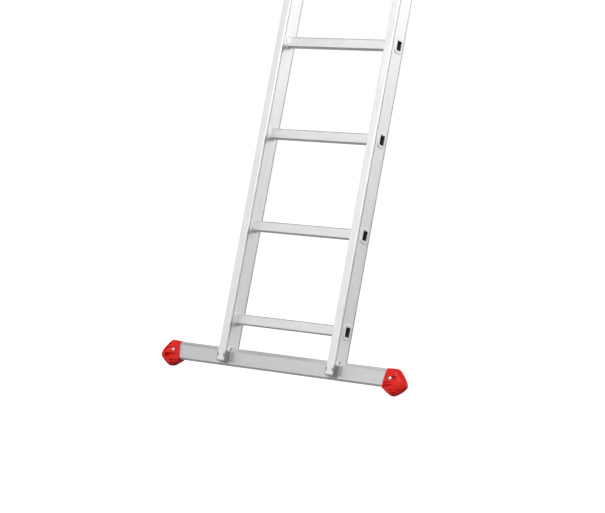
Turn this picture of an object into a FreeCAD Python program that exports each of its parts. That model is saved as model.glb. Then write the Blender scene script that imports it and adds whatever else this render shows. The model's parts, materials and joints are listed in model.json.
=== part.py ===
import FreeCAD, Part
import math
import os
from FreeCAD import Placement, Rotation, Vector

# Two-section extension ladder with a stabiliser bar and foot caps, in millimetres.
#
# Every piece is first built in the ladder's own frame:
#   X across the ladder, with 0 on its centre line and + to the climber's right
#   Y through the ladder, with 0 at the front (climber's) face of the base stiles
#   Z along the stiles, with 0 near the lower edge of the stabiliser bar
# The last step leans the whole ladder back and stands it on the floor, so that in the
# part's frame +Z is up and the origin is on the floor, midway between the two soles.
#
# The fly section is built retracted, level with the base section, and then lifted.

# ---------------------------------------------------------------- driving sizes
lean_angle = 18.0
base_width = 410.0
fly_width = 345.0
rung_pitch = 280.0
rungs_per_section = 9
lift_pitches = 5
section_gap = 6.0

# stiles: one two-chamber box extrusion for both sections
stile_width = 26.0
stile_depth = 68.0
stile_wall = 1.8
stile_corner_radius = 2.5
stile_groove_width = 1.2
stile_groove_depth = 0.5
stile_groove_inset = 6.5
front_chamber_depth = 24.5
first_rung_height = 135.5
stile_above_last_rung = 140.0
fly_stile_below_first_rung = 60.0

# rungs: rounded rectangular tubes, swaged to the stile walls by collars
rung_depth = 24.0
rung_height = 30.4
rung_wall = 1.3
rung_corner_radius = 4.0
rung_behind_chamber = 0.5
rung_hole_clearance = 0.05
collar_margin = 8.0
collar_rise = 1.6
root_collar_margin = 4.0
root_collar_rise = 2.5
tread_groove_count = 5
tread_groove_width = 1.6
tread_groove_depth = 0.5
tread_groove_pitch = 3.2

# stabiliser bar
bar_length = 784.0
bar_depth = 24.0
bar_height = 52.0
bar_bottom = -3.5
bar_wall = 2.0
bar_bevel_height = 11.0
bar_bevel_depth = 6.0
bar_lower_chamfer = 4.0

# foot caps: a side outline, a plan outline and a cross section with a round sole
cap_rim_upper_x = 372.0
cap_rim_lower_x = 360.0
cap_tip_x = 436.0
cap_cover = 7.0
cap_rim_cover = 2.0
cap_top_cover = 2.5
cap_top_chamfer_depth = 7.0
cap_top_chamfer_height = 14.0
cap_pocket_clearance = 0.2
cap_sole_x = 402.0
sole_bottom = -26.0
sole_radius = 36.0
sole_flat_cut = 0.7
cap_screw_x = 383.5
cap_screw_z = 21.6
cap_screw_radius = 2.5
cap_screw_head_radius = 4.0
cap_screw_head_height = 2.4
cap_screw_recess = 3.0
cap_screw_recess_radius = 6.0

# lower end of the base stiles: saddle, plug and bolts
lip_bottom = 8.0
notch_bottom = 18.0
notch_top = 28.0
notch_width = 5.0
notch_depth = 6.0
saddle_thickness = 1.5
saddle_top = 36.0
saddle_setback = 1.0
saddle_flange_width = 12.0
saddle_flange_bottom = 11.5
saddle_floor = 3.0
plug_clearance = 0.1
plug_flange = 4.0
nut_plate_thickness = 5.0
nut_plate_bottom = 13.0
nut_plate_height = 32.0
bolt_radius = 4.0
bolt_lower_z = 20.0
bolt_upper_z = 38.0
bolt_head_width = 13.0
bolt_head_height = 5.3
bolt_hole_clearance = 0.25
washer_radius = 8.0
washer_thickness = 1.6

# plastic end caps of the stiles
end_cap_thickness = 4.0
end_cap_plug_length = 14.0
end_cap_wall = 2.0

# guide brackets and their glide liners
guide_thickness = 3.0
guide_length = 70.0
guide_tail = 22.5
guide_lip = 23.0
liner_thickness = 2.5
liner_side_thickness = 2.0
glide_clearance = 0.5
bead_clearance = 0.4
base_guide_below_top = 95.0
fly_guide_above_bottom = 5.0
rivet_radius = 2.4
rivet_head_radius = 4.5
rivet_head_height = 1.2
rivet_inset = 13.0
rivet_spacing = 40.0

# pivoting rung hooks
hook_pin_forward_of_fly_rear = 19.0
hook_pin_above_seat = 25.0
hook_pin_radius = 5.0
hook_pin_head_radius = 8.5
hook_pin_head_height = 4.0
hook_running_clearance = 0.06
hook_side_play = 0.3
hook_thickness = 6.0
hook_boss_radius = 13.0
hook_seat_clearance = 0.5
hook_bridge_height = 11.0
hook_leg_length = 17.0
hook_leg_depth = 10.0
hook_leg_clearance = 1.0
hook_bushing_length = 5.5
hook_bushing_radius = 7.0
hook_nut_width = 17.0
hook_nut_height = 7.0
spring_wire_radius = 0.6
spring_turns = 2
spring_leg_length = 14.0
spring_clearance = 0.3
spring_side_clearance = 0.6

# stops that end the fly's upward travel
lift_past_last_rung = 20.0
stop_clearance = 0.5
stop_height = 14.0
stop_depth = 6.0

# ---------------------------------------------------------------- worked-out sizes
rung_front = front_chamber_depth + rung_behind_chamber
rung_centre_y = rung_front + rung_depth / 2
rung_top_offset = rung_height / 2
section_top = first_rung_height + (rungs_per_section - 1) * rung_pitch + stile_above_last_rung
fly_front = -(section_gap + stile_depth)
fly_bottom = first_rung_height - fly_stile_below_first_rung
fly_lift = lift_pitches * rung_pitch
bar_front = front_chamber_depth
bar_rear = bar_front + bar_depth
bar_centre_y = bar_front + bar_depth / 2
bar_top = bar_bottom + bar_height
lean_slope = math.tan(math.radians(lean_angle))
bolt_heights = (bolt_lower_z, bolt_upper_z)
X_AXIS = Vector(1, 0, 0)
Y_AXIS = Vector(0, 1, 0)
Z_AXIS = Vector(0, 0, 1)


# ---------------------------------------------------------------- shape helpers
def block(x_range, y_range, z_range):
    """A box between the low and high value given for each axis."""
    low = Vector(min(x_range), min(y_range), min(z_range))
    high = Vector(max(x_range), max(y_range), max(z_range))
    size = high - low
    return Part.makeBox(size.x, size.y, size.z, low)


def edges_along(shape, axis):
    """The straight edges of a shape that run along one axis."""
    found = []
    for edge in shape.Edges:
        direction = edge.Vertexes[-1].Point - edge.Vertexes[0].Point
        if direction.Length > 1e-6 and direction.cross(axis).Length < 1e-6 * direction.Length:
            found.append(edge)
    return found


def rounded_block(x_range, y_range, z_range, radius, axis):
    """A box whose four edges along one axis are rounded."""
    shape = block(x_range, y_range, z_range)
    return shape.makeFillet(radius, edges_along(shape, axis))


def prism_along_x(points, x_range):
    """A straight prism along X over a closed outline of (y, z) points."""
    x_low, x_high = min(x_range), max(x_range)
    outline = [Vector(x_low, y, z) for y, z in points]
    return Part.Face(Part.makePolygon(outline + outline[:1])).extrude(Vector(x_high - x_low, 0, 0))


def prism_along_z(points, z_range):
    """A straight prism along Z over a closed outline of (x, y) points."""
    z_low, z_high = min(z_range), max(z_range)
    outline = [Vector(x, y, z_low) for x, y in points]
    return Part.Face(Part.makePolygon(outline + outline[:1])).extrude(Vector(0, 0, z_high - z_low))


def smooth_prism_along_y(points, y_range):
    """A prism along Y over a smooth curve through (x, z) points, closed by a straight line."""
    y_low, y_high = min(y_range), max(y_range)
    through = [Vector(x, y_low, z) for x, z in points]
    curve = Part.BSplineCurve()
    curve.interpolate(through)
    closing = Part.makeLine(through[-1], through[0])
    outline = Part.Wire([curve.toShape(), closing])
    return Part.Face(outline).extrude(Vector(0, y_high - y_low, 0))


def rod(start, axis, length, radius):
    """A round rod from a start point along an axis."""
    return Part.makeCylinder(radius, length, start, axis)


def hexagon(start, axis, length, across_flats):
    """A hexagonal prism from a start point along an axis."""
    radius = across_flats / math.sqrt(3)
    corners = []
    for corner in range(7):
        angle = math.radians(60 * corner)
        corners.append(Vector(radius * math.cos(angle), radius * math.sin(angle), 0))
    shape = Part.Face(Part.makePolygon(corners)).extrude(Vector(0, 0, length))
    shape.Placement = Placement(start, Rotation(Z_AXIS, axis))
    return shape


def mirrored(shape):
    """The same piece for the other side of the ladder."""
    return shape.mirror(Vector(0, 0, 0), X_AXIS)


def both_sides(shape):
    """A right-hand piece and its left-hand mirror image as a group of separate solids."""
    return Part.makeCompound([shape, mirrored(shape)])


def single(shape):
    """The one solid that a cut or a fuse left, with its faces merged where they are flush."""
    return shape.removeSplitter().Solids[0]


# ---------------------------------------------------------------- stiles and rungs
def stile(width, front, bottom):
    """The right stile of a section: a closed box with a cross web, grooves and rung holes."""
    outer, inner = width / 2, width / 2 - stile_width
    rear = front + stile_depth
    along = (bottom, section_top)
    shape = rounded_block((inner, outer), (front, rear), along, stile_corner_radius, Z_AXIS)
    hollow_x = (inner + stile_wall, outer - stile_wall)
    past_ends = (bottom - 1, section_top + 1)
    web_rear = front + front_chamber_depth
    hollows = [
        block(hollow_x, (front + stile_wall, web_rear - stile_wall), past_ends),
        block(hollow_x, (web_rear, rear - stile_wall), past_ends),
    ]
    grooves = []
    for groove_y in (front + stile_groove_inset, rear - stile_groove_inset):
        across = (groove_y - stile_groove_width / 2, groove_y + stile_groove_width / 2)
        grooves.append(block((outer - stile_groove_depth, outer + 1), across, past_ends))
        grooves.append(block((inner - 1, inner + stile_groove_depth), across, past_ends))
    holes = []
    for index in range(rungs_per_section):
        grown = rung_hole_clearance
        holes.append(rung_bar((inner - 1, outer + 1), front, index, grown))
    return shape.cut(hollows + grooves + holes)


def rung_bar(x_range, front, index, grown, radius=rung_corner_radius):
    """A solid bar with a rung's outline, grown on all sides by the given amount."""
    middle_y = front + rung_centre_y
    middle_z = first_rung_height + index * rung_pitch
    half_y = rung_depth / 2 + grown
    half_z = rung_height / 2 + grown
    y_range = (middle_y - half_y, middle_y + half_y)
    z_range = (middle_z - half_z, middle_z + half_z)
    return rounded_block(x_range, y_range, z_range, radius + grown, X_AXIS)


def rung(width, front, index):
    """A rung: a tube through both stiles, with a collar on the outside and inside of each."""
    outer = width / 2
    inner = outer - stile_width
    collars = []
    for side in (-1, 1):
        outside = (side * outer, side * (outer + collar_rise))
        inside = (side * (inner - root_collar_rise), side * inner)
        outside_collar = rung_bar(outside, front, index, collar_margin)
        rim = [edge for edge in outside_collar.Edges
               if abs(abs(edge.CenterOfMass.x) - (outer + collar_rise)) < 1e-6]
        collars.append(outside_collar.makeFillet(collar_rise * 0.9, rim))
        collars.append(rung_bar(inside, front, index, root_collar_margin))
    end = outer + collar_rise
    tube = rung_bar((-end, end), front, index, 0.0).fuse(collars)
    cuts = [rung_bar((-end - 1, end + 1), front, index, -rung_wall)]
    top = first_rung_height + index * rung_pitch + rung_top_offset
    clear_x = inner - root_collar_rise
    for groove in range(tread_groove_count):
        offset = (groove - (tread_groove_count - 1) / 2) * tread_groove_pitch
        middle_y = front + rung_centre_y + offset
        across = (middle_y - tread_groove_width / 2, middle_y + tread_groove_width / 2)
        cuts.append(block((-clear_x, clear_x), across, (top - tread_groove_depth, top + 1)))
    return single(tube.cut(cuts))


def base_stile():
    """The right base stile, cut away behind its front chamber so that it stands on the bar."""
    outer = base_width / 2
    inner = outer - stile_width
    whole = stile(base_width, 0.0, lip_bottom)
    seat = block((inner - 1, outer + 1), (front_chamber_depth, stile_depth + 1), (lip_bottom - 1, bar_top))
    cuts = [seat]
    for edge_x, inward in ((outer, -1), (inner, 1)):
        notch_x = (edge_x - inward, edge_x + inward * notch_width)
        cuts.append(block(notch_x, (-1, notch_depth), (notch_bottom, notch_top)))
    for bolt_z in bolt_heights:
        start = Vector((outer + inner) / 2, front_chamber_depth - stile_wall - 1, bolt_z)
        cuts.append(rod(start, Y_AXIS, stile_wall + 2, bolt_radius + bolt_hole_clearance))
    for rivet_z in guide_rivet_heights(section_top - base_guide_below_top):
        start = Vector(outer - rivet_inset, -1, rivet_z)
        cuts.append(rod(start, Y_AXIS, stile_wall + 2, rivet_radius))
    start = Vector(stop_screw_x(), stile_depth - stile_wall - 1, stop_screw_z())
    cuts.append(rod(start, Y_AXIS, stile_wall + 2, rivet_radius))
    return single(whole.cut(cuts))


def fly_stile():
    """The right fly stile, drilled for the hook pin and the guide rivets."""
    outer = fly_width / 2
    inner = outer - stile_width
    cuts = []
    pin = hook_pin_centre()
    cuts.append(rod(Vector(inner - 1, pin.y, pin.z), X_AXIS, stile_width + 2, hook_pin_radius))
    for rivet_z in guide_rivet_heights(fly_bottom + fly_guide_above_bottom):
        start = Vector(inner + rivet_inset, -section_gap - stile_wall - 1, rivet_z)
        cuts.append(rod(start, Y_AXIS, stile_wall + 2, rivet_radius))
    return single(stile(fly_width, fly_front, fly_bottom).cut(cuts))


def end_cap(width, front, level, upward):
    """A plastic cap on a stile's end: a plate with a hollow plug in the rear chamber."""
    outer, inner = width / 2, width / 2 - stile_width
    rear = front + stile_depth
    z_range = (level, level + upward * end_cap_thickness)
    plate = rounded_block((inner, outer), (front, rear), z_range, stile_corner_radius, Z_AXIS)
    inset = stile_wall + plug_clearance
    plug_x = (inner + inset, outer - inset)
    plug_y = (front + front_chamber_depth + plug_clearance, rear - inset)
    plug_z = (level, level - upward * end_cap_plug_length)
    plug = block(plug_x, plug_y, plug_z)
    core_x = (plug_x[0] + end_cap_wall, plug_x[1] - end_cap_wall)
    core_y = (plug_y[0] + end_cap_wall, plug_y[1] - end_cap_wall)
    core = block(core_x, core_y, (level, level - upward * (end_cap_plug_length + 1)))
    return single(plate.fuse(plug.cut(core)))


# ---------------------------------------------------------------- stabiliser bar and feet
def bar_section(grown):
    """The (y, z) outline of the bar, with a bevelled top front edge, grown on all sides."""
    front, rear = bar_front - grown, bar_rear + grown
    low, high = bar_bottom - grown, bar_top + grown
    return [
        (front, low + bar_lower_chamfer),
        (front, high - bar_bevel_height),
        (front + bar_bevel_depth, high),
        (rear, high),
        (rear, low),
        (front + bar_lower_chamfer, low),
    ]


def stabiliser_bar():
    """The box tube across the foot of the ladder, drilled for its bolts and cap screws."""
    half = bar_length / 2
    tube = prism_along_x(bar_section(0.0), (-half, half))
    tube = tube.cut(prism_along_x(bar_section(-bar_wall), (-half - 1, half + 1)))
    holes = []
    middle = base_width / 2 - stile_width / 2
    for side in (-1, 1):
        for bolt_z in bolt_heights:
            start = Vector(side * middle, bar_front - 1, bolt_z)
            holes.append(rod(start, Y_AXIS, bar_depth + 2, bolt_radius + bolt_hole_clearance))
        start = Vector(side * cap_screw_x, bar_front - 1, cap_screw_z)
        holes.append(rod(start, Y_AXIS, bar_wall + 2, cap_screw_radius))
    return single(tube.cut(holes))


def sole_contact():
    """Middle of the sole's flat, where the round sole meets the floor with the ladder leaning."""
    reach = sole_radius - sole_flat_cut
    lean = math.radians(lean_angle)
    axis_z = sole_bottom + sole_radius
    return Vector(cap_sole_x, bar_centre_y + reach * math.sin(lean), axis_z - reach * math.cos(lean))


def floor_level(y):
    """Height in the ladder's frame of the floor plane below a point at depth y."""
    contact = sole_contact()
    return contact.z + (y - contact.y) * lean_slope


def foot_cap():
    """The right foot cap: a rounded moulding over the bar's end, with a round, flatted sole."""
    top = bar_top + cap_top_cover
    half_depth = bar_depth / 2 + cap_cover
    front, rear = bar_centre_y - half_depth, bar_centre_y + half_depth
    side_outline = [
        (cap_rim_upper_x, top - 0.5),
        (cap_rim_upper_x + 14, top),
        (cap_sole_x - 3, top - 1),
        (cap_tip_x - 21, bar_bottom + 37),
        (cap_tip_x - 9, bar_bottom + 21),
        (cap_tip_x - 1, bar_bottom + 8),
        (cap_tip_x - 1, bar_bottom),
        (cap_tip_x - 10, bar_bottom - 9),
        (cap_tip_x - 22, sole_bottom + 5),
        (cap_sole_x + 4, sole_bottom),
        (cap_sole_x - 9, sole_bottom + 2),
        (cap_rim_lower_x + 18, bar_bottom - 13),
        (cap_rim_lower_x + 6, bar_bottom - 6),
        (cap_rim_lower_x, bar_bottom - 2.5),
    ]
    body = smooth_prism_along_y(side_outline, (front - 10, rear + 10))
    plan_outline = [
        (cap_rim_lower_x - 10, bar_front - cap_rim_cover),
        (cap_rim_upper_x, bar_front - cap_rim_cover - 2),
        (cap_rim_upper_x + 12, front + 1),
        (cap_rim_upper_x + 24, front),
        (cap_tip_x - 26, front + 2),
        (cap_tip_x - 11, front + 8),
        (cap_tip_x + 1, bar_centre_y - 5),
        (cap_tip_x + 1, bar_centre_y + 5),
        (cap_tip_x - 11, rear - 8),
        (cap_tip_x - 26, rear - 2),
        (cap_rim_upper_x + 24, rear),
        (cap_rim_upper_x + 12, rear - 1),
        (cap_rim_upper_x, bar_rear + cap_rim_cover + 2),
        (cap_rim_lower_x - 10, bar_rear + cap_rim_cover),
    ]
    body = body.common(prism_along_z(plan_outline, (sole_bottom - 10, top + 10)))
    axis_z = sole_bottom + sole_radius
    sole_round = rod(Vector(cap_rim_lower_x - 10, bar_centre_y, axis_z), X_AXIS,
                     cap_tip_x - cap_rim_lower_x + 20, sole_radius)
    upper = [
        (front, axis_z - 25),
        (front, top - cap_top_chamfer_height),
        (front + cap_top_chamfer_depth, top + 1),
        (rear - cap_top_chamfer_depth, top + 1),
        (rear, top - cap_top_chamfer_height),
        (rear, axis_z - 25),
    ]
    upper_body = prism_along_x(upper, (cap_rim_lower_x - 10, cap_tip_x + 10))
    lower = block((cap_rim_lower_x - 10, cap_tip_x + 10), (front, rear), (sole_bottom - 10, axis_z))
    body = body.common(upper_body.fuse(sole_round.common(lower)))
    under_floor = [
        (front - 10, floor_level(front - 10)),
        (rear + 10, floor_level(rear + 10)),
        (rear + 10, floor_level(front - 10) - 10),
        (front - 10, floor_level(front - 10) - 10),
    ]
    pocket_end = bar_length / 2 + cap_pocket_clearance
    cuts = [
        prism_along_x(under_floor, (cap_rim_lower_x - 10, cap_tip_x + 10)),
        prism_along_x(bar_section(cap_pocket_clearance), (cap_rim_lower_x - 20, pocket_end)),
    ]
    recess = Vector(cap_screw_x, front - 1, cap_screw_z)
    cuts.append(rod(recess, Y_AXIS, cap_screw_recess + 1, cap_screw_recess_radius))
    cuts.append(rod(recess, Y_AXIS, cap_cover + 2, cap_screw_radius + bolt_hole_clearance))
    return single(body.cut(cuts))


def cap_screw():
    """The right cap's screw: a pan head in the recess and a shank into the bar's front wall."""
    head_y = bar_front - cap_cover + cap_screw_recess - cap_screw_head_height
    head_start = Vector(cap_screw_x, head_y, cap_screw_z)
    head = rod(head_start, Y_AXIS, cap_screw_head_height, cap_screw_head_radius)
    rim = [edge for edge in head.Edges if abs(edge.CenterOfMass.y - head_y) < 1e-6]
    head = head.makeFillet(cap_screw_head_height * 0.6, rim)
    reach = bar_front + bar_wall + 4 - head_y - cap_screw_head_height
    shank_start = head_start + Y_AXIS * cap_screw_head_height
    shank = rod(shank_start, Y_AXIS, reach, cap_screw_radius)
    slot_width = 1.2
    slot_length = cap_screw_head_radius
    slots = []
    for half_x, half_z in ((slot_length / 2, slot_width / 2), (slot_width / 2, slot_length / 2)):
        slots.append(block((cap_screw_x - half_x, cap_screw_x + half_x),
                           (head_y - 1, head_y + slot_width),
                           (cap_screw_z - half_z, cap_screw_z + half_z)))
    return single(head.cut(slots).fuse(shank))


def stile_saddle():
    """The right saddle: cheeks and a floor round the stile's lip, with flanges on the bar."""
    outer = base_width / 2
    inner = outer - stile_width
    cheek_y = (saddle_setback, bar_front)
    flange_y = (bar_front - saddle_thickness, bar_front)
    flange_z = (saddle_flange_bottom, saddle_top)
    floor_x = (inner - saddle_thickness, outer + saddle_thickness)
    shape = block(floor_x, cheek_y, (lip_bottom - saddle_floor, lip_bottom))
    pieces = []
    for wall_x, outward in ((outer, 1), (inner, -1)):
        cheek_x = (wall_x, wall_x + outward * saddle_thickness)
        flange_x = (wall_x, wall_x + outward * saddle_flange_width)
        lug_x = (wall_x + outward * saddle_thickness, wall_x - outward * (notch_width - plug_clearance))
        lug_z = (notch_bottom + plug_clearance, notch_top - plug_clearance)
        pieces.append(block(cheek_x, cheek_y, (lip_bottom - saddle_floor, saddle_top)))
        pieces.append(block(flange_x, flange_y, flange_z))
        pieces.append(block(lug_x, (saddle_setback, notch_depth - plug_clearance), lug_z))
    return single(shape.fuse(pieces))


def stile_plug():
    """The right lower plug: it closes the front chamber's open end."""
    outer = base_width / 2
    inner = outer - stile_width
    inset = stile_wall + plug_clearance
    across = (inner + inset, outer - inset)
    deep = (inset, front_chamber_depth - inset)
    return block(across, deep, (lip_bottom, lip_bottom + plug_flange))


def nut_plate():
    """The right nut plate: a threaded steel plate inside the front chamber."""
    middle = base_width / 2 - stile_width / 2
    half = stile_width / 2 - stile_wall - plug_clearance
    rear = front_chamber_depth - stile_wall
    z_range = (nut_plate_bottom, nut_plate_bottom + nut_plate_height)
    plate = block((middle - half, middle + half), (rear - nut_plate_thickness, rear), z_range)
    holes = []
    for bolt_z in bolt_heights:
        start = Vector(middle, rear - nut_plate_thickness - 1, bolt_z)
        holes.append(rod(start, Y_AXIS, nut_plate_thickness + 2, bolt_radius))
    return single(plate.cut(holes))


def bar_bolts():
    """The four bolts that pull the bar against the stiles' cross webs, from behind."""
    solids = []
    middle = base_width / 2 - stile_width / 2
    tip = front_chamber_depth - stile_wall - nut_plate_thickness
    head_front = bar_rear + washer_thickness
    for side in (-1, 1):
        for bolt_z in bolt_heights:
            shank = rod(Vector(side * middle, tip, bolt_z), Y_AXIS, head_front - tip, bolt_radius)
            head = hexagon(Vector(side * middle, head_front, bolt_z), Y_AXIS, bolt_head_height, bolt_head_width)
            solids.append(single(shank.fuse(head)))
    return Part.makeCompound(solids)


def bar_washers():
    """The washers under the bolts' heads."""
    solids = []
    middle = base_width / 2 - stile_width / 2
    for side in (-1, 1):
        for bolt_z in bolt_heights:
            start = Vector(side * middle, bar_rear, bolt_z)
            disc = rod(start, Y_AXIS, washer_thickness, washer_radius)
            hole = rod(start, Y_AXIS, washer_thickness, bolt_radius + bolt_hole_clearance)
            solids.append(disc.cut(hole).Solids[0])
    return Part.makeCompound(solids)


# ---------------------------------------------------------------- guides between the sections
def guide_rivet_heights(bottom):
    """Heights of a guide bracket's rivets, from the height of its lower end."""
    middle = bottom + guide_length / 2
    return (middle - rivet_spacing / 2, middle + rivet_spacing / 2)


def base_guide():
    """The right bracket at the base's top: its claw holds the fly stile."""
    bottom = section_top - base_guide_below_top
    z_range = (bottom, bottom + guide_length)
    outer = fly_width / 2
    web_inside = outer + collar_rise + bead_clearance + liner_side_thickness
    web_x = (web_inside, web_inside + guide_thickness)
    lip_rear = fly_front - glide_clearance - liner_thickness
    plate = block((outer - guide_tail, base_width / 2), (-guide_thickness, 0), z_range)
    web = block(web_x, (lip_rear - guide_thickness, 0), z_range)
    lip = block((web_x[1] - guide_lip, web_x[1]), (lip_rear - guide_thickness, lip_rear), z_range)
    holes = []
    for rivet_z in guide_rivet_heights(bottom):
        start = Vector(base_width / 2 - rivet_inset, -guide_thickness - 1, rivet_z)
        holes.append(rod(start, Y_AXIS, guide_thickness + 2, rivet_radius))
    return single(plate.fuse([web, lip]).cut(holes))


def base_guide_liner():
    """The right glide liner of the base's bracket: a plastic channel round the fly stile."""
    bottom = section_top - base_guide_below_top
    z_range = (bottom, bottom + guide_length)
    outer = fly_width / 2
    side_inside = outer + collar_rise + bead_clearance
    side_x = (side_inside, side_inside + liner_side_thickness)
    rear_y = (-guide_thickness - liner_thickness, -guide_thickness)
    front_y = (fly_front - glide_clearance - liner_thickness, fly_front - glide_clearance)
    lip_end = side_x[1] + guide_thickness - guide_lip
    pieces = [
        block((outer - guide_tail, side_x[1]), rear_y, z_range),
        block((lip_end, side_x[1]), front_y, z_range),
    ]
    return single(block(side_x, (front_y[0], rear_y[1]), z_range).fuse(pieces))


def fly_guide():
    """The right bracket at the fly's bottom: its claw reaches round the base stile."""
    bottom = fly_bottom + fly_guide_above_bottom
    z_range = (bottom, bottom + guide_length)
    web_inside = base_width / 2 + collar_rise + bead_clearance + liner_side_thickness
    web_x = (web_inside, web_inside + guide_thickness)
    lip_front = stile_depth + glide_clearance + liner_thickness
    plate_y = (-section_gap, -section_gap + guide_thickness)
    plate = block((fly_width / 2 - guide_tail, web_x[1]), plate_y, z_range)
    web = block(web_x, (-section_gap, lip_front + guide_thickness), z_range)
    lip = block((web_x[1] - guide_lip, web_x[1]), (lip_front, lip_front + guide_thickness), z_range)
    holes = []
    for rivet_z in guide_rivet_heights(bottom):
        start = Vector(fly_width / 2 - stile_width + rivet_inset, -section_gap - 1, rivet_z)
        holes.append(rod(start, Y_AXIS, guide_thickness + 2, rivet_radius))
    return single(plate.fuse([web, lip]).cut(holes))


def fly_guide_liner():
    """The right glide liner of the fly's bracket: a plastic channel round the base stile."""
    bottom = fly_bottom + fly_guide_above_bottom
    z_range = (bottom, bottom + guide_length)
    outer = base_width / 2
    side_inside = outer + collar_rise + bead_clearance
    side_x = (side_inside, side_inside + liner_side_thickness)
    front_y = (-section_gap + guide_thickness, -glide_clearance)
    rear_y = (stile_depth + glide_clearance, stile_depth + glide_clearance + liner_thickness)
    lip_end = side_x[1] + guide_thickness - guide_lip
    pieces = [
        block((outer - stile_width, side_x[1]), front_y, z_range),
        block((lip_end, side_x[1]), rear_y, z_range),
    ]
    return single(block(side_x, (front_y[0], rear_y[1]), z_range).fuse(pieces))


def rivet(head_start, direction, grip):
    """A blind rivet: a domed head and a shank along a direction through its grip."""
    head = rod(head_start, direction * -1, rivet_head_height, rivet_head_radius)
    shank = rod(head_start, direction, grip, rivet_radius)
    return single(head.fuse(shank))


def base_guide_rivets():
    """The rivets that hold the base's brackets to the front of the base stiles."""
    solids = []
    for rivet_z in guide_rivet_heights(section_top - base_guide_below_top):
        start = Vector(base_width / 2 - rivet_inset, -guide_thickness, rivet_z)
        right = rivet(start, Y_AXIS, guide_thickness + stile_wall + 3)
        solids += [right, mirrored(right)]
    return Part.makeCompound(solids)


def fly_guide_rivets():
    """The rivets that hold the fly's brackets to the back of the fly stiles."""
    solids = []
    for rivet_z in guide_rivet_heights(fly_bottom + fly_guide_above_bottom):
        start = Vector(fly_width / 2 - stile_width + rivet_inset, -section_gap + guide_thickness, rivet_z)
        right = rivet(start, Y_AXIS * -1, guide_thickness + stile_wall + 3)
        solids += [right, mirrored(right)]
    return Part.makeCompound(solids)


# ---------------------------------------------------------------- rung hooks
def hook_pin_centre():
    """Centre of the hook pin, in the plane across the ladder, with the fly retracted."""
    seat = first_rung_height + rung_top_offset
    return Vector(0, -section_gap - hook_pin_forward_of_fly_rear, seat + hook_pin_above_seat)


def hook_x_range():
    """The hook plate lies inside the fly stile, a bushing's length and the play away from it."""
    outside = fly_width / 2 - stile_width - hook_bushing_length - hook_side_play
    return (outside - hook_thickness, outside)


def rung_hook():
    """The right hook: a plate that pivots on the fly and drops over a base rung."""
    pin = hook_pin_centre()
    seat = first_rung_height + rung_top_offset + hook_seat_clearance
    rung_rear = rung_front + rung_depth
    throat_rear = rung_rear + hook_leg_clearance
    leg_rear = throat_rear + hook_leg_depth
    bridge_top = seat + hook_bridge_height
    leg_tip = seat - hook_seat_clearance - hook_leg_length
    outline = [
        (pin.y, pin.z + hook_boss_radius),
        (rung_front - 3, bridge_top + 2),
        (rung_front, bridge_top),
        (leg_rear - 3, bridge_top),
        (leg_rear, bridge_top - 3),
        (leg_rear, leg_tip + 4),
        (leg_rear - 4, leg_tip),
        (throat_rear + 3, leg_tip),
        (throat_rear, leg_tip + 4),
        (throat_rear, seat),
        (rung_front - 5, seat),
        (pin.y + 3, pin.z - hook_boss_radius + 0.5),
        (pin.y, pin.z - hook_boss_radius + 2),
    ]
    across = hook_x_range()
    boss = rod(Vector(across[0], pin.y, pin.z), X_AXIS, hook_thickness, hook_boss_radius)
    bore = rod(Vector(across[0] - 1, pin.y, pin.z), X_AXIS, hook_thickness + 2,
               hook_pin_radius + hook_running_clearance)
    return single(prism_along_x(outline, across).fuse(boss).cut(bore))


def hook_pin():
    """The right hook's pin: a shoulder bolt through the fly stile, bushing and hook."""
    pin = hook_pin_centre()
    outer = fly_width / 2
    nut_x = hook_x_range()[0] - hook_side_play - hook_nut_height
    shank = rod(Vector(nut_x, pin.y, pin.z), X_AXIS, outer - nut_x, hook_pin_radius)
    head = rod(Vector(outer, pin.y, pin.z), X_AXIS, hook_pin_head_height, hook_pin_head_radius)
    return single(shank.fuse(head))


def hook_nut():
    """The right hook pin's lock nut."""
    pin = hook_pin_centre()
    nut_x = hook_x_range()[0] - hook_side_play - hook_nut_height
    start = Vector(nut_x, pin.y, pin.z)
    body = hexagon(start, X_AXIS, hook_nut_height, hook_nut_width)
    return body.cut(rod(start, X_AXIS, hook_nut_height, hook_pin_radius)).Solids[0]


def hook_bushing():
    """The right bushing: it keeps the hook off the stile's wall."""
    pin = hook_pin_centre()
    wall = fly_width / 2 - stile_width
    start = Vector(wall - hook_bushing_length, pin.y, pin.z)
    body = rod(start, X_AXIS, hook_bushing_length, hook_bushing_radius)
    return body.cut(rod(start, X_AXIS, hook_bushing_length, hook_pin_radius)).Solids[0]


def hook_spring():
    """The right torsion spring: a coil round the bushing, with two straight tangent legs."""
    pin = hook_pin_centre()
    room = hook_bushing_length - 2 * spring_side_clearance - 2 * spring_wire_radius
    pitch = room / spring_turns
    coil_radius = hook_bushing_radius + spring_wire_radius + spring_clearance
    coil = Part.makeHelix(pitch, room, coil_radius)
    tangent = Vector(0, 2 * math.pi * coil_radius, pitch).normalize()
    coil_start = Vector(coil_radius, 0, 0)
    coil_end = Vector(coil_radius, 0, room)
    leg_start = coil_start - tangent * spring_leg_length
    leg_end = coil_end + tangent * spring_leg_length
    path = Part.Wire([Part.makeLine(leg_start, coil_start)] + coil.Edges + [Part.makeLine(coil_end, leg_end)])
    wire_end = Part.Wire(Part.makeCircle(spring_wire_radius, leg_start, tangent))
    spring = single(path.makePipeShell([wire_end], True, True))
    wall = fly_width / 2 - stile_width
    foot = Vector(wall - spring_side_clearance - spring_wire_radius - room, pin.y, pin.z)
    spring.Placement = Placement(foot, Rotation(Z_AXIS, X_AXIS))
    return spring


# ---------------------------------------------------------------- stops
def stop_screw_x():
    """Across the ladder, a stop's rivet is on the rear wall near the stile's outer edge."""
    return base_width / 2 - rivet_inset


def stop_screw_z():
    """A stop's rivet is at the middle of its height."""
    return stop_bottom() + stop_height / 2


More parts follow.
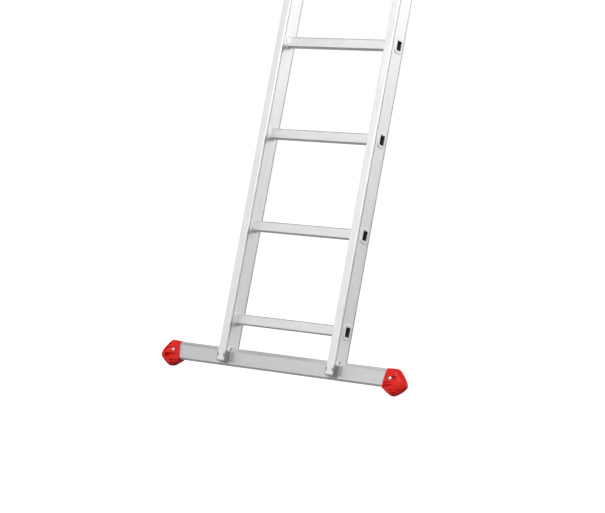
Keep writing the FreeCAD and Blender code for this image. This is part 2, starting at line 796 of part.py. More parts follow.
def stop_bottom():
    """The stops stand just above the fly brackets at the top of their travel."""
    guide_top = fly_bottom + fly_guide_above_bottom + guide_length
    return guide_top + fly_lift + lift_past_last_rung + stop_clearance


def extension_stop():
    """The right stop: a riveted block behind the base stile that ends the fly's travel."""
    outer = base_width / 2
    z_range = (stop_bottom(), stop_bottom() + stop_height)
    x_range = (outer - stile_width + stop_clearance, outer)
    y_range = (stile_depth, stile_depth + stop_depth)
    body = rounded_block(x_range, y_range, z_range, stile_corner_radius, Y_AXIS)
    start = Vector(stop_screw_x(), stile_depth + stop_depth, stop_screw_z())
    fixing = rod(start, Y_AXIS * -1, stop_depth + stile_wall + 3, rivet_radius)
    return single(body.fuse(fixing))


# ---------------------------------------------------------------- assembly
def add_pair(nodes, name, right):
    """Adds a right-hand piece and its mirror image as two nodes."""
    nodes[name + "_right"] = right
    nodes[name + "_left"] = mirrored(right)


def base_section():
    """All nodes of the base section, in the ladder's frame."""
    nodes = {}
    add_pair(nodes, "base_stile", base_stile())
    for index in range(rungs_per_section):
        nodes["base_rung_%d" % (index + 1)] = rung(base_width, 0.0, index)
    nodes["stabiliser_bar"] = stabiliser_bar()
    add_pair(nodes, "foot_cap", foot_cap())
    nodes["foot_cap_screws"] = both_sides(cap_screw())
    add_pair(nodes, "stile_saddle", stile_saddle())
    add_pair(nodes, "stile_plug", stile_plug())
    add_pair(nodes, "nut_plate", nut_plate())
    nodes["bar_bolts"] = bar_bolts()
    nodes["bar_washers"] = bar_washers()
    add_pair(nodes, "base_top_cap", end_cap(base_width, 0.0, section_top, 1))
    add_pair(nodes, "base_guide", base_guide())
    add_pair(nodes, "base_guide_liner", base_guide_liner())
    nodes["base_guide_rivets"] = base_guide_rivets()
    nodes["extension_stops"] = both_sides(extension_stop())
    return nodes


def fly_section():
    """All nodes of the fly section with its hooks, in the ladder's frame, retracted."""
    nodes = {}
    add_pair(nodes, "fly_stile", fly_stile())
    for index in range(rungs_per_section):
        nodes["fly_rung_%d" % (index + 1)] = rung(fly_width, fly_front, index)
    add_pair(nodes, "fly_top_cap", end_cap(fly_width, fly_front, section_top, 1))
    add_pair(nodes, "fly_bottom_cap", end_cap(fly_width, fly_front, fly_bottom, -1))
    add_pair(nodes, "fly_guide", fly_guide())
    add_pair(nodes, "fly_guide_liner", fly_guide_liner())
    nodes["fly_guide_rivets"] = fly_guide_rivets()
    add_pair(nodes, "rung_hook", rung_hook())
    add_pair(nodes, "hook_pin", hook_pin())
    add_pair(nodes, "hook_bushing", hook_bushing())
    add_pair(nodes, "hook_spring", hook_spring())
    nodes["hook_nuts"] = both_sides(hook_nut())
    return nodes


def standing_placement():
    """Leans the ladder back and puts the line between its soles' middles through the origin."""
    leaned = Rotation(X_AXIS, -lean_angle)
    contact = sole_contact()
    contact_line = leaned.multVec(Vector(0, contact.y, contact.z))
    return Placement(contact_line * -1, leaned)


def main():
    os.makedirs("parts", exist_ok=True)
    nodes = base_section()
    for name, shape in fly_section().items():
        nodes[name] = shape.translated(Vector(0, 0, fly_lift))
    standing = standing_placement()
    for name, shape in nodes.items():
        placed = shape.transformed(standing.toMatrix())
        placed.exportStep(os.path.join("parts", name + ".step"))


main()
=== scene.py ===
"""Extension ladder with a stabiliser bar: finishes, red foot caps, their screws and a studio stage.

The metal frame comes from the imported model. The shapes made here are worked out in the ladder's own
axes, X across, Y through and Z along the stiles, and then leaned back onto the floor with it.
"""
import json
import math

import bpy
import numpy as np
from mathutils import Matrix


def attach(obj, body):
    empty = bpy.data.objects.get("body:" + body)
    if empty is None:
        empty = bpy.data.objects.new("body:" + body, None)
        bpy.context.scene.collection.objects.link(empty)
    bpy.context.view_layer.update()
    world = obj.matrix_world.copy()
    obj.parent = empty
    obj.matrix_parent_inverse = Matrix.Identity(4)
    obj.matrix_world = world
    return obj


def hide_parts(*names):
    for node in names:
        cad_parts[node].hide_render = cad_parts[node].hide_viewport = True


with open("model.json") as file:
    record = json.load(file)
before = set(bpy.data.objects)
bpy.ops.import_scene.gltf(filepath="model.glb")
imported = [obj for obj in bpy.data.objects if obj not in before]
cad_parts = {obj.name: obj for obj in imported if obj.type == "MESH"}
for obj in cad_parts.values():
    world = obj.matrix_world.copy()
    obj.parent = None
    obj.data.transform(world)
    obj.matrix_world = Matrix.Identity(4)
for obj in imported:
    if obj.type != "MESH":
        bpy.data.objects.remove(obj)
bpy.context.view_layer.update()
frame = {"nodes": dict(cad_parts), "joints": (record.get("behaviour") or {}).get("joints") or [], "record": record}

bl_info = {
    "name": "Extension Ladder",
    "version": (1, 0, 0),
    "blender": (4, 5, 0),
    "location": "3D View > Sidebar > Ladder",
    "description": "Finishes, foot caps and small parts of an extension ladder, with a studio stage",
    "category": "Add Mesh",
}

MM = 0.001
SLIDE_AXIS = next(joint["axis"] for joint in frame["joints"] if joint["name"] == "fly_slide")
# the angle that the stiles lean back from the vertical
LEAN = math.atan2(SLIDE_AXIS[1], SLIDE_AXIS[2])

# sizes of the frame that the finishes and the new pieces follow, in the ladder's axes
FIRST_RUNG = 135.5 * MM
RUNG_PITCH = 280.0 * MM
RUNG_HALF_DEPTH = 12.0 * MM
RUNG_HALF_HEIGHT = 15.2 * MM
RUNG_OFF_MIDDLE = 37.0 * MM
RUNG_WALL = 1.3 * MM
BORE_SKIN_SHARE = 0.6
SERRATION_MIDDLES = (6.5 * MM, 61.5 * MM, -12.5 * MM, -67.5 * MM)
SERRATION_HALF_WIDTH = 2.2 * MM
SERRATION_PITCH = 1.1 * MM
BAR_MIDDLE_Y = 36.5 * MM
BAR_HALF_DEPTH = 12.0 * MM
BAR_LOW = -3.5 * MM
BAR_HIGH = 48.5 * MM
BAR_HALF_LENGTH = 392.0 * MM
BAR_BEVEL_HEIGHT = 11.0 * MM
BAR_BEVEL_DEPTH = 6.0 * MM
# the foot caps' soles are round, and a small cut makes them flat where they stand on the floor
SOLE_RADIUS = 36.0 * MM
SOLE_BOTTOM = -26.0 * MM
SOLE_FLAT_CUT = 0.7 * MM
SOLE_REACH = SOLE_RADIUS - SOLE_FLAT_CUT
SOLE_CONTACT_Y = BAR_MIDDLE_Y + SOLE_REACH * math.sin(LEAN)
SOLE_CONTACT_Z = SOLE_BOTTOM + SOLE_RADIUS - SOLE_REACH * math.cos(LEAN)


# ---------------------------------------------------------------- settings a user may change
class LadderFinish(bpy.types.PropertyGroup):
    """Colours and surface qualities of the ladder's materials."""

    stile_colour: bpy.props.FloatVectorProperty(
        name="Stile aluminium", description="Colour of the stiles' extrusion",
        default=(0.88, 0.88, 0.885), size=3, min=0.0, max=1.0, subtype="COLOR")
    rung_colour: bpy.props.FloatVectorProperty(
        name="Rung aluminium", description="Colour of the rungs' extrusion",
        default=(0.83, 0.83, 0.835), size=3, min=0.0, max=1.0, subtype="COLOR")
    bar_colour: bpy.props.FloatVectorProperty(
        name="Bar aluminium", description="Colour of the stabiliser bar's extrusion",
        default=(0.68, 0.68, 0.685), size=3, min=0.0, max=1.0, subtype="COLOR")
    cap_colour: bpy.props.FloatVectorProperty(
        name="Foot cap plastic", description="Colour of the foot caps",
        default=(0.68, 0.016, 0.013), size=3, min=0.0, max=1.0, subtype="COLOR")
    # the edges' width also sets how far painted shade reaches along the stiles' edges
    wear_and_shade_width: bpy.props.FloatProperty(
        name="Edge width", description="How far the rounding and the wear reach from an edge",
        default=0.6 * MM, min=0.0, max=0.005, subtype="DISTANCE", unit="LENGTH")
    grain_depth: bpy.props.FloatProperty(
        name="Grain depth", description="Height of the drawing lines left by the extrusion die",
        default=0.02 * MM, min=0.0, max=0.001, precision=6, subtype="DISTANCE", unit="LENGTH")


class LadderFootCaps(bpy.types.PropertyGroup):
    """Sizes of the moulded foot caps."""

    rim_x: bpy.props.FloatProperty(
        name="Rim", description="Distance of the cap's rim from the ladder's middle, at mid height",
        default=363.5 * MM, min=0.3, max=0.4, subtype="DISTANCE", unit="LENGTH")
    tip_x: bpy.props.FloatProperty(
        name="Tip", description="Distance of the cap's tip from the ladder's middle",
        default=434.5 * MM, min=0.42, max=0.5, subtype="DISTANCE", unit="LENGTH")
    half_depth: bpy.props.FloatProperty(
        name="Half depth", description="Half of the cap's size through the ladder",
        default=19.0 * MM, min=0.015, max=0.03, subtype="DISTANCE", unit="LENGTH")
    scoop_depth: bpy.props.FloatProperty(
        name="Scoop depth", description="Depth of the deepest scoop in the faces",
        default=12.0 * MM, min=0.0, max=0.014, subtype="DISTANCE", unit="LENGTH")


class LadderStage(bpy.types.PropertyGroup):
    """The camera and the light of the stage."""

    camera_place: bpy.props.FloatVectorProperty(
        name="Camera place", description="Where the camera stands",
        default=(3.6065, -4.9979, 1.2217), size=3, subtype="TRANSLATION", unit="LENGTH")
    camera_turn: bpy.props.FloatVectorProperty(
        name="Camera turn", description="The camera's tilt, roll and azimuth",
        default=(math.radians(82.035), math.radians(-0.044), math.radians(35.231)),
        size=3, subtype="EULER", unit="ROTATION")
    lens: bpy.props.FloatProperty(
        name="Lens", description="Focal length on a 36 mm sensor, in millimetres",
        default=129.59, min=20.0, max=300.0)
    key_power: bpy.props.FloatProperty(
        name="Key light", description="Power of the soft light high at the front left",
        default=340.0, min=0.0, max=5000.0, unit="POWER")
    fill_power: bpy.props.FloatProperty(
        name="Fill light", description="Power of the soft light at the far right",
        default=60.0, min=0.0, max=5000.0, unit="POWER")


def finish_settings():
    """The finish settings of the current scene."""
    return bpy.context.scene.ladder_finish


# ---------------------------------------------------------------- node helpers
def add_node(tree, kind, inputs=None, **settings):
    """A node with its settings, whose inputs are sockets to link or constant values."""
    made = tree.nodes.new(kind)
    for name, value in settings.items():
        setattr(made, name, value)
    for key, value in (inputs or {}).items():
        if isinstance(value, bpy.types.NodeSocket):
            tree.links.new(value, made.inputs[key])
        else:
            made.inputs[key].default_value = value
    return made


def maths(tree, operation, first, second=0.0, clamp=False):
    """The result of one maths operation."""
    made = add_node(tree, "ShaderNodeMath", {0: first, 1: second},
                    operation=operation, use_clamp=clamp)
    return made.outputs[0]


def mix_colour(tree, factor, first, second):
    """A colour between the first and the second."""
    made = add_node(tree, "ShaderNodeMix", {0: factor, 6: first, 7: second}, data_type="RGBA")
    return made.outputs[2]


def map_range(tree, value, low, high, to_low, to_high):
    """A value carried smoothly from one range to another, and held at its ends."""
    made = add_node(tree, "ShaderNodeMapRange",
                    {"Value": value, "From Min": low, "From Max": high,
                     "To Min": to_low, "To Max": to_high},
                    interpolation_type="SMOOTHSTEP")
    return made.outputs["Result"]


def opaque(colour, factor=1.0):
    """A colour with its alpha, made lighter or darker by a factor."""
    return (*[min(1.0, channel * factor) for channel in colour], 1.0)


def new_group(name, inputs, outputs):
    """A shader node group with named sockets: (group, input node, output node)."""
    group = bpy.data.node_groups.new(name, "ShaderNodeTree")
    for label, kind, default in inputs:
        socket = group.interface.new_socket(label, in_out="INPUT", socket_type=kind)
        if default is not None:
            socket.default_value = default
    for label, kind in outputs:
        group.interface.new_socket(label, in_out="OUTPUT", socket_type=kind)
    return group, group.nodes.new("NodeGroupInput"), group.nodes.new("NodeGroupOutput")


def place_group(tree, group, inputs):
    """The group as a node of a material."""
    return add_node(tree, "ShaderNodeGroup", inputs, node_tree=group)


def ladder_axes(tree):
    """Object coordinates turned upright, so that Z runs along the stiles and X across them."""
    object_axes = add_node(tree, "ShaderNodeTexCoord").outputs["Object"]
    turned = add_node(tree, "ShaderNodeMapping",
                      {"Vector": object_axes,
                       "Location": (0.0, SOLE_CONTACT_Y, SOLE_CONTACT_Z),
                       "Rotation": (LEAN, 0.0, 0.0)},
                      vector_type="POINT")
    return turned.outputs["Vector"]


# ---------------------------------------------------------------- shared effects
def edge_group():
    """Edges: the mask of wear, and of painted shade where a material darkens its edges, is 1 minus the dot product
    of the rounded and the face's own normal.
    """
    group, given, result = new_group(
        "edge_rounding",
        [("Vector", "NodeSocketVector", None), ("Width", "NodeSocketFloat", 0.6 * MM),
         ("Patchiness", "NodeSocketFloat", 0.5)],
        [("Wear and Edge Shade", "NodeSocketFloat"), ("Normal", "NodeSocketVector")])
    rounded = add_node(group, "ShaderNodeBevel", {"Radius": given.outputs["Width"]}, samples=6)
    flat = add_node(group, "ShaderNodeNewGeometry").outputs["Normal"]
    along = add_node(group, "ShaderNodeVectorMath", {0: rounded.outputs["Normal"], 1: flat},
                     operation="DOT_PRODUCT")
    away = maths(group, "SUBTRACT", 1.0, along.outputs["Value"], clamp=True)
    mask = map_range(group, away, 0.0, 0.18, 0.0, 1.0)
    rubs = add_node(group, "ShaderNodeTexNoise",
                    {"Vector": given.outputs["Vector"], "Scale": 140.0, "Detail": 3.0})
    rub_mask = map_range(group, rubs.outputs["Fac"], 0.35, 0.65, 0.0, 1.0)
    kept = maths(group, "SUBTRACT", 1.0, maths(group, "MULTIPLY", rub_mask, given.outputs["Patchiness"]))
    group.links.new(maths(group, "MULTIPLY", mask, kept), result.inputs["Wear and Edge Shade"])
    group.links.new(rounded.outputs["Normal"], result.inputs["Normal"])
    return group


def grain_group():
    """Extrusion grain: fine lines and broad bands, noise drawn out along the section's axis."""
    group, given, result = new_group(
        "extrusion_grain",
        [("Vector", "NodeSocketVector", None), ("Stretch", "NodeSocketVector", (1.0, 1.0, 0.01))],
        [("Lines", "NodeSocketFloat"), ("Bands", "NodeSocketFloat"), ("Haze", "NodeSocketFloat")])
    drawn = add_node(group, "ShaderNodeVectorMath",
                     {0: given.outputs["Vector"], 1: given.outputs["Stretch"]}, operation="MULTIPLY")
    for label, scale, detail in (("Lines", 1400.0, 4.0), ("Bands", 160.0, 2.0)):
        noise = add_node(group, "ShaderNodeTexNoise",
                         {"Vector": drawn.outputs["Vector"], "Scale": scale, "Detail": detail})
        group.links.new(noise.outputs["Fac"], result.inputs[label])
    haze = add_node(group, "ShaderNodeTexNoise",
                    {"Vector": given.outputs["Vector"], "Scale": 9.0, "Detail": 5.0, "Roughness": 0.6})
    group.links.new(haze.outputs["Fac"], result.inputs["Haze"])
    return group


def scuff_group():
    """Scuffs: thin short lines, where two drawn-out noises cross a narrow band of values."""
    group, given, result = new_group(
        "scuffs",
        [("Vector", "NodeSocketVector", None), ("Amount", "NodeSocketFloat", 0.5)],
        [("Mask", "NodeSocketFloat")])
    masks = []
    for turn in (0.5, -0.7):
        turned = add_node(group, "ShaderNodeMapping",
                          {"Vector": given.outputs["Vector"], "Rotation": (turn, turn * 0.6, turn),
                           "Scale": (1.0, 1.0, 0.06)})
        noise = add_node(group, "ShaderNodeTexNoise",
                         {"Vector": turned.outputs["Vector"], "Scale": 220.0, "Detail": 2.0})
        off_middle = maths(group, "ABSOLUTE", maths(group, "SUBTRACT", noise.outputs["Fac"], 0.5))
        masks.append(map_range(group, off_middle, 0.0, 0.012, 1.0, 0.0))
    either = maths(group, "MAXIMUM", masks[0], masks[1])
    where = add_node(group, "ShaderNodeTexNoise",
                     {"Vector": given.outputs["Vector"], "Scale": 14.0, "Detail": 3.0})
    patches = map_range(group, where.outputs["Fac"], 0.52, 0.66, 0.0, 1.0)
    shown = maths(group, "MULTIPLY", maths(group, "MULTIPLY", either, patches), given.outputs["Amount"])
    group.links.new(shown, result.inputs["Mask"])
    return group


def speckle_group():
    """Moulded texture: fine grains for height and slow clouds for tone."""
    group, given, result = new_group(
        "moulded_texture",
        [("Vector", "NodeSocketVector", None), ("Grain Size", "NodeSocketFloat", 900.0)],
        [("Grains", "NodeSocketFloat"), ("Clouds", "NodeSocketFloat")])
    grains = add_node(group, "ShaderNodeTexNoise",
                      {"Vector": given.outputs["Vector"], "Scale": given.outputs["Grain Size"],
                       "Detail": 2.0})
    clouds = add_node(group, "ShaderNodeTexNoise",
                      {"Vector": given.outputs["Vector"], "Scale": 26.0, "Detail": 4.0})
    group.links.new(grains.outputs["Fac"], result.inputs["Grains"])
    group.links.new(clouds.outputs["Fac"], result.inputs["Clouds"])
    return group


def shared(name, build):
    """The shared group of a name, built the first time that it is asked for."""
    return bpy.data.node_groups.get(name) or build()


# ---------------------------------------------------------------- materials
# set before the finishes' names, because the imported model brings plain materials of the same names
FINISH_PREFIX = "ladder_"


def new_material(name, metallic, specular=0.5):
    """An empty material with a Principled shader: (material, tree, shader)."""
    material = bpy.data.materials.new(FINISH_PREFIX + name)
    material.use_nodes = True
    tree = material.node_tree
    tree.nodes.clear()
    output = tree.nodes.new("ShaderNodeOutputMaterial")
    shader = tree.nodes.new("ShaderNodeBsdfPrincipled")
    shader.inputs["Metallic"].default_value = metallic
    shader.inputs["Specular IOR Level"].default_value = specular
    tree.links.new(shader.outputs["BSDF"], output.inputs["Surface"])
    return material, tree, shader


def edges_of(tree, vector, width_factor=1.0):
    """The edge effect placed in a material."""
    width = finish_settings().wear_and_shade_width * width_factor
    return place_group(tree, shared("edge_rounding", edge_group),
                       {"Vector": vector, "Width": width, "Patchiness": 0.5})


def bumped(tree, shader, height, distance, strength, normal):
    """Feeds the shader's normal from a height on top of a rounded normal."""
    bump = add_node(tree, "ShaderNodeBump",
                    {"Height": height, "Distance": distance, "Strength": strength, "Normal": normal})
    tree.links.new(bump.outputs["Normal"], shader.inputs["Normal"])


def bore_mask(tree, vector):
    """1 on the inside of the rung tubes, 0 elsewhere.

    Z is folded over the rungs' pitch, which gives the distance up or down to the nearest rung's
    middle. A point is inside where that and the distance through are both less than the tube's
    half size minus a part of its wall.
    """
    split = add_node(tree, "ShaderNodeSeparateXYZ", {"Vector": vector})
    from_first = maths(tree, "ADD", split.outputs["Z"], RUNG_PITCH / 2 - FIRST_RUNG)
    folded = maths(tree, "FLOORED_MODULO", from_first, RUNG_PITCH)
    up = maths(tree, "ABSOLUTE", maths(tree, "SUBTRACT", folded, RUNG_PITCH / 2))
    off_ladder = maths(tree, "ABSOLUTE", split.outputs["Y"])
    through = maths(tree, "ABSOLUTE", maths(tree, "SUBTRACT", off_ladder, RUNG_OFF_MIDDLE))
    skin = RUNG_WALL * BORE_SKIN_SHARE
    inside_height = maths(tree, "LESS_THAN", up, RUNG_HALF_HEIGHT - skin)
    inside_depth = maths(tree, "LESS_THAN", through, RUNG_HALF_DEPTH - skin)
    return maths(tree, "MULTIPLY", inside_height, inside_depth)


def serration_shade_mask(tree, vector):
    """Up to 1 on fine lines, a sine over Y, in narrow bands near the edges of the stiles' side walls."""
    y = add_node(tree, "ShaderNodeSeparateXYZ", {"Vector": vector}).outputs["Y"]
    bands = 0.0
    for middle in SERRATION_MIDDLES:
        off_middle = maths(tree, "ABSOLUTE", maths(tree, "SUBTRACT", y, middle))
        band = map_range(tree, off_middle, SERRATION_HALF_WIDTH * 0.8, SERRATION_HALF_WIDTH, 1.0, 0.0)
        bands = maths(tree, "MAXIMUM", band, bands)
    ripple = maths(tree, "SINE", maths(tree, "MULTIPLY", y, 2 * math.pi / SERRATION_PITCH))
    lines = map_range(tree, ripple, -0.6, 0.2, 0.35, 1.0)
    return maths(tree, "MULTIPLY", bands, lines)


def aluminium(name, colour, stretch, rough=(0.34, 0.50), edge_tone=1.1,
              paint_bore_shade=False, serrated=False):
    """Drawn aluminium: die lines, broad bands, hazy patches and fine scuffs.

    The edges are darker or lighter by the edge tone: lighter is wear, darker is painted shade. Bores are dark with
    painted shade, because little light gets in, and serrated walls carry painted shade in fine dark lines.
    """
    material, tree, shader = new_material(name, metallic=0.85)
    vector = ladder_axes(tree)
    grain = place_group(tree, shared("extrusion_grain", grain_group),
                        {"Vector": vector, "Stretch": stretch})
    scuffs = place_group(tree, shared("scuffs", scuff_group), {"Vector": vector, "Amount": 0.5})
    edges = edges_of(tree, vector)
    lines = map_range(tree, grain.outputs["Lines"], 0.3, 0.7, 0.0, 1.0)
    tone = mix_colour(tree, lines, opaque(colour, 0.93), opaque(colour, 1.03))
    bands = map_range(tree, grain.outputs["Bands"], 0.35, 0.65, 0.0, 0.35)
    tone = mix_colour(tree, bands, tone, opaque(colour, 0.90))
    haze = map_range(tree, grain.outputs["Haze"], 0.4, 0.7, 0.0, 0.3)
    tone = mix_colour(tree, haze, tone, opaque(colour, 0.94))
    tone = mix_colour(tree, scuffs.outputs["Mask"], tone, opaque(colour, 0.75))
    # painted shade along the edges where the edge tone is below 1, wear where it is above
    tone = mix_colour(tree, edges.outputs["Wear and Edge Shade"], tone, opaque(colour, edge_tone))
    if serrated:
        # painted shade: fine dark lines over the serration bands
        tone = mix_colour(tree, serration_shade_mask(tree, vector), tone, opaque(colour, 0.45))
    if paint_bore_shade:
        # painted shade inside the rung tubes
        tone = mix_colour(tree, bore_mask(tree, vector), tone, opaque(colour, 0.40))
    tree.links.new(tone, shader.inputs["Base Color"])
    roughness = map_range(tree, grain.outputs["Lines"], 0.3, 0.7, rough[0], rough[1])
    roughness = maths(tree, "ADD", roughness, maths(tree, "MULTIPLY", haze, 0.2))
    roughness = maths(tree, "SUBTRACT", roughness, maths(tree, "MULTIPLY", edges.outputs["Wear and Edge Shade"], 0.1))
    tree.links.new(roughness, shader.inputs["Roughness"])
    height = maths(tree, "SUBTRACT", grain.outputs["Lines"], scuffs.outputs["Mask"])
    bumped(tree, shader, height, finish_settings().grain_depth, 0.5, edges.outputs["Normal"])
    return material


def plastic(name, colour, rough=(0.35, 0.5), grain_size=900.0, grain_height=0.02,
            coat=0.0, specular=0.5):
    """Moulded plastic: fine grain, a cloudy tone, paler rubbed edges and a few scuffs.

    The grain's height is given in millimetres.
    """
    material, tree, shader = new_material(name, metallic=0.0, specular=specular)
    shader.inputs["Coat Roughness"].default_value = 0.25
    vector = ladder_axes(tree)
    texture = place_group(tree, shared("moulded_texture", speckle_group),
                          {"Vector": vector, "Grain Size": grain_size})
    scuffs = place_group(tree, shared("scuffs", scuff_group), {"Vector": vector, "Amount": 0.4})
    edges = edges_of(tree, vector, width_factor=1.2)
    clouds = map_range(tree, texture.outputs["Clouds"], 0.35, 0.65, 0.0, 1.0)
    tone = mix_colour(tree, clouds, opaque(colour, 0.90), opaque(colour, 1.08))
    pale = tuple(channel * 0.93 + 0.04 for channel in colour)
    worn = maths(tree, "MULTIPLY", edges.outputs["Wear and Edge Shade"], 0.35)
    tone = mix_colour(tree, worn, tone, opaque(pale))
    tone = mix_colour(tree, scuffs.outputs["Mask"], tone, opaque(pale))
    tree.links.new(tone, shader.inputs["Base Color"])
    roughness = map_range(tree, texture.outputs["Grains"], 0.3, 0.7, rough[0], rough[1])
    tree.links.new(roughness, shader.inputs["Roughness"])
    if coat:
        tree.links.new(map_range(tree, texture.outputs["Clouds"], 0.3, 0.7, coat, coat * 0.7),
                       shader.inputs["Coat Weight"])
    bumped(tree, shader, texture.outputs["Grains"], grain_height * MM, 0.6, edges.outputs["Normal"])
    return material


def plated_steel(name, colour, rough=(0.22, 0.42)):
    """Zinc-plated steel: crystal patches in tone and gloss, with bright rubbed edges."""
    material, tree, shader = new_material(name, metallic=1.0)
    vector = ladder_axes(tree)
    crystals = add_node(tree, "ShaderNodeTexVoronoi", {"Vector": vector, "Scale": 420.0})
    scuffs = place_group(tree, shared("scuffs", scuff_group), {"Vector": vector, "Amount": 0.6})
    texture = place_group(tree, shared("moulded_texture", speckle_group),
                          {"Vector": vector, "Grain Size": 1600.0})
    edges = edges_of(tree, vector)
    shade = add_node(tree, "ShaderNodeSeparateColor", {"Color": crystals.outputs["Color"]})
    tone = mix_colour(tree, shade.outputs["Red"], opaque(colour, 0.88), opaque(colour, 1.06))
    clouds = map_range(tree, texture.outputs["Clouds"], 0.4, 0.7, 0.0, 0.5)
    tone = mix_colour(tree, clouds, tone, opaque(colour, 0.8))
    tone = mix_colour(tree, edges.outputs["Wear and Edge Shade"], tone, opaque(colour, 1.2))
    tone = mix_colour(tree, scuffs.outputs["Mask"], tone, opaque(colour, 0.6))
    tree.links.new(tone, shader.inputs["Base Color"])
    roughness = map_range(tree, shade.outputs["Green"], 0.0, 1.0, rough[0], rough[1])
    tree.links.new(roughness, shader.inputs["Roughness"])
    bumped(tree, shader, texture.outputs["Grains"], 0.01 * MM, 0.5, edges.outputs["Normal"])
    return material


def material_of(name, build):
    """The finish of a name, built the first time that it is asked for."""
    return bpy.data.materials.get(FINISH_PREFIX + name) or build(name)


def cap_red(name):
    """Satin red plastic of the foot caps."""
    return plastic(name, finish_settings().cap_colour, rough=(0.42, 0.56), grain_size=1300.0,
                   grain_height=0.012, coat=0.03, specular=0.14)


def screw_plating(name):
    """Bright zinc plating of the foot caps' screws."""
    return plated_steel(name, (0.95, 0.95, 0.95), rough=(0.42, 0.58))


def dress(slot, material):
    """Gives a finish to all frame nodes that the record lists under a material slot."""
    for part in frame["record"]["subparts"]:
        if part["material_slot"] == slot:
            mesh = frame["nodes"][part["node"]].data
            mesh.materials.clear()
            mesh.materials.append(material)


ALONG_STILES = (1.0, 1.0, 0.006)
ACROSS_LADDER = (0.006, 1.0, 1.0)


class LADDER_OT_finish_aluminium(bpy.types.Operator):
    """Gives the stiles, rungs, bar, guide brackets and rivets their drawn aluminium"""

    bl_idname = "ladder.finish_aluminium"
    bl_label = "Finish the aluminium"

    def execute(self, context):
        settings = context.scene.ladder_finish
        # the stiles' edges are darkened to half: painted shade along them
        dress("stile_aluminium", aluminium("stile_aluminium", settings.stile_colour, ALONG_STILES,
                                           edge_tone=0.5, serrated=True))
        # the rungs' bores get painted shade
        dress("rung_aluminium", aluminium("rung_aluminium", settings.rung_colour, ACROSS_LADDER,
                                          paint_bore_shade=True))
        dress("bar_aluminium", aluminium("bar_aluminium", settings.bar_colour, ACROSS_LADDER,
                                         rough=(0.42, 0.56)))
        dress("guide_aluminium", aluminium("guide_aluminium", (0.72, 0.72, 0.73), ALONG_STILES))
        dress("rivet_aluminium", aluminium("rivet_aluminium", (0.8, 0.8, 0.8), (0.3, 0.3, 0.3),
                                           rough=(0.25, 0.4)))
        return {"FINISHED"}


class LADDER_OT_finish_plastic(bpy.types.Operator):
    """Gives the saddles, plugs, end caps, glide liners and stops their moulded plastic"""

    bl_idname = "ladder.finish_plastic"
    bl_label = "Finish the plastic"

    def execute(self, context):
        dress("foot_red_plastic", material_of("foot_red_plastic", cap_red))
        dress("saddle_grey_plastic", plastic("saddle_grey_plastic", (0.33, 0.33, 0.335), rough=(0.5, 0.65)))
        dress("end_cap_plastic", plastic("end_cap_plastic", (0.055, 0.055, 0.058), rough=(0.42, 0.6)))
        dress("glide_plastic", plastic("glide_plastic", (0.075, 0.075, 0.08), rough=(0.3, 0.42)))
        return {"FINISHED"}


class LADDER_OT_finish_steel(bpy.types.Operator):
    """Gives the screws, bolts, pins, nuts, springs and hooks their plated steel"""

    bl_idname = "ladder.finish_steel"
    bl_label = "Finish the steel"

    def execute(self, context):
        dress("screw_steel", material_of("screw_steel", screw_plating))
        dress("zinc_steel", plated_steel("zinc_steel", (0.62, 0.63, 0.65)))
        dress("hook_steel", plated_steel("hook_steel", (0.55, 0.56, 0.58), rough=(0.3, 0.48)))
        return {"FINISHED"}


# ---------------------------------------------------------------- surfaces
def stand(points):
    """Ladder axes to the floor's axes: leans the points back about X and sets the soles down."""
    lean_cos, lean_sin = math.cos(LEAN), math.sin(LEAN)
    y = points[..., 1] - SOLE_CONTACT_Y
    z = points[..., 2] - SOLE_CONTACT_Z
    leaned = np.stack([points[..., 0], y * lean_cos + z * lean_sin, z * lean_cos - y * lean_sin], axis=-1)
    return leaned


def grid_faces(rows, columns, first=0):
    """Quads between neighbouring rows of a grid that closes on itself along its columns."""
    row = np.arange(rows - 1)[:, None] * columns
    column = np.arange(columns)[None, :]
    after = (column + 1) % columns
    quads = np.stack([row + column, row + after, row + columns + after, row + columns + column], axis=-1)
    return quads.reshape(-1, 4) + first


def pole_faces(pole, ring, columns):
    """Triangles between a pole and the ring whose first vertex is given."""
    column = np.arange(columns)
    after = (column + 1) % columns
    return np.stack([np.full(columns, pole), ring + column, ring + after], axis=-1)


def tube_surface(rings, start_pole, end_pole):
    """A closed surface through a stack of rings, with a pole at each end: (points, faces)."""
    rows, columns = rings.shape[:2]
    points = np.concatenate([rings.reshape(-1, 3), [start_pole], [end_pole]])
    start, end = rows * columns, rows * columns + 1
    faces = grid_faces(rows, columns).tolist()
    faces += pole_faces(start, 0, columns)[:, ::-1].tolist()
    faces += pole_faces(end, (rows - 1) * columns, columns).tolist()
    return points, faces


def outward(points, faces):
    """The faces turned to point outwards, by the sign of the volume that they enclose."""
    corners = np.array([face[:3] for face in faces])
    a, b, c = points[corners[:, 0]], points[corners[:, 1]], points[corners[:, 2]]
    volume = np.einsum("ij,ij->i", a, np.cross(b, c)).sum()
    quads = np.array([face for face in faces if len(face) == 4])
    if len(quads):
        a, b, c = points[quads[:, 0]], points[quads[:, 2]], points[quads[:, 3]]
        volume += np.einsum("ij,ij->i", a, np.cross(b, c)).sum()
    return faces if volume > 0 else [face[::-1] for face in faces]


def joined(parts):
    """Several (points, faces) surfaces as one."""
    all_points, all_faces, count = [], [], 0
    for points, faces in parts:
        all_points.append(points)
        all_faces += [[index + count for index in face] for face in faces]
        count += len(points)
    return np.concatenate(all_points), all_faces


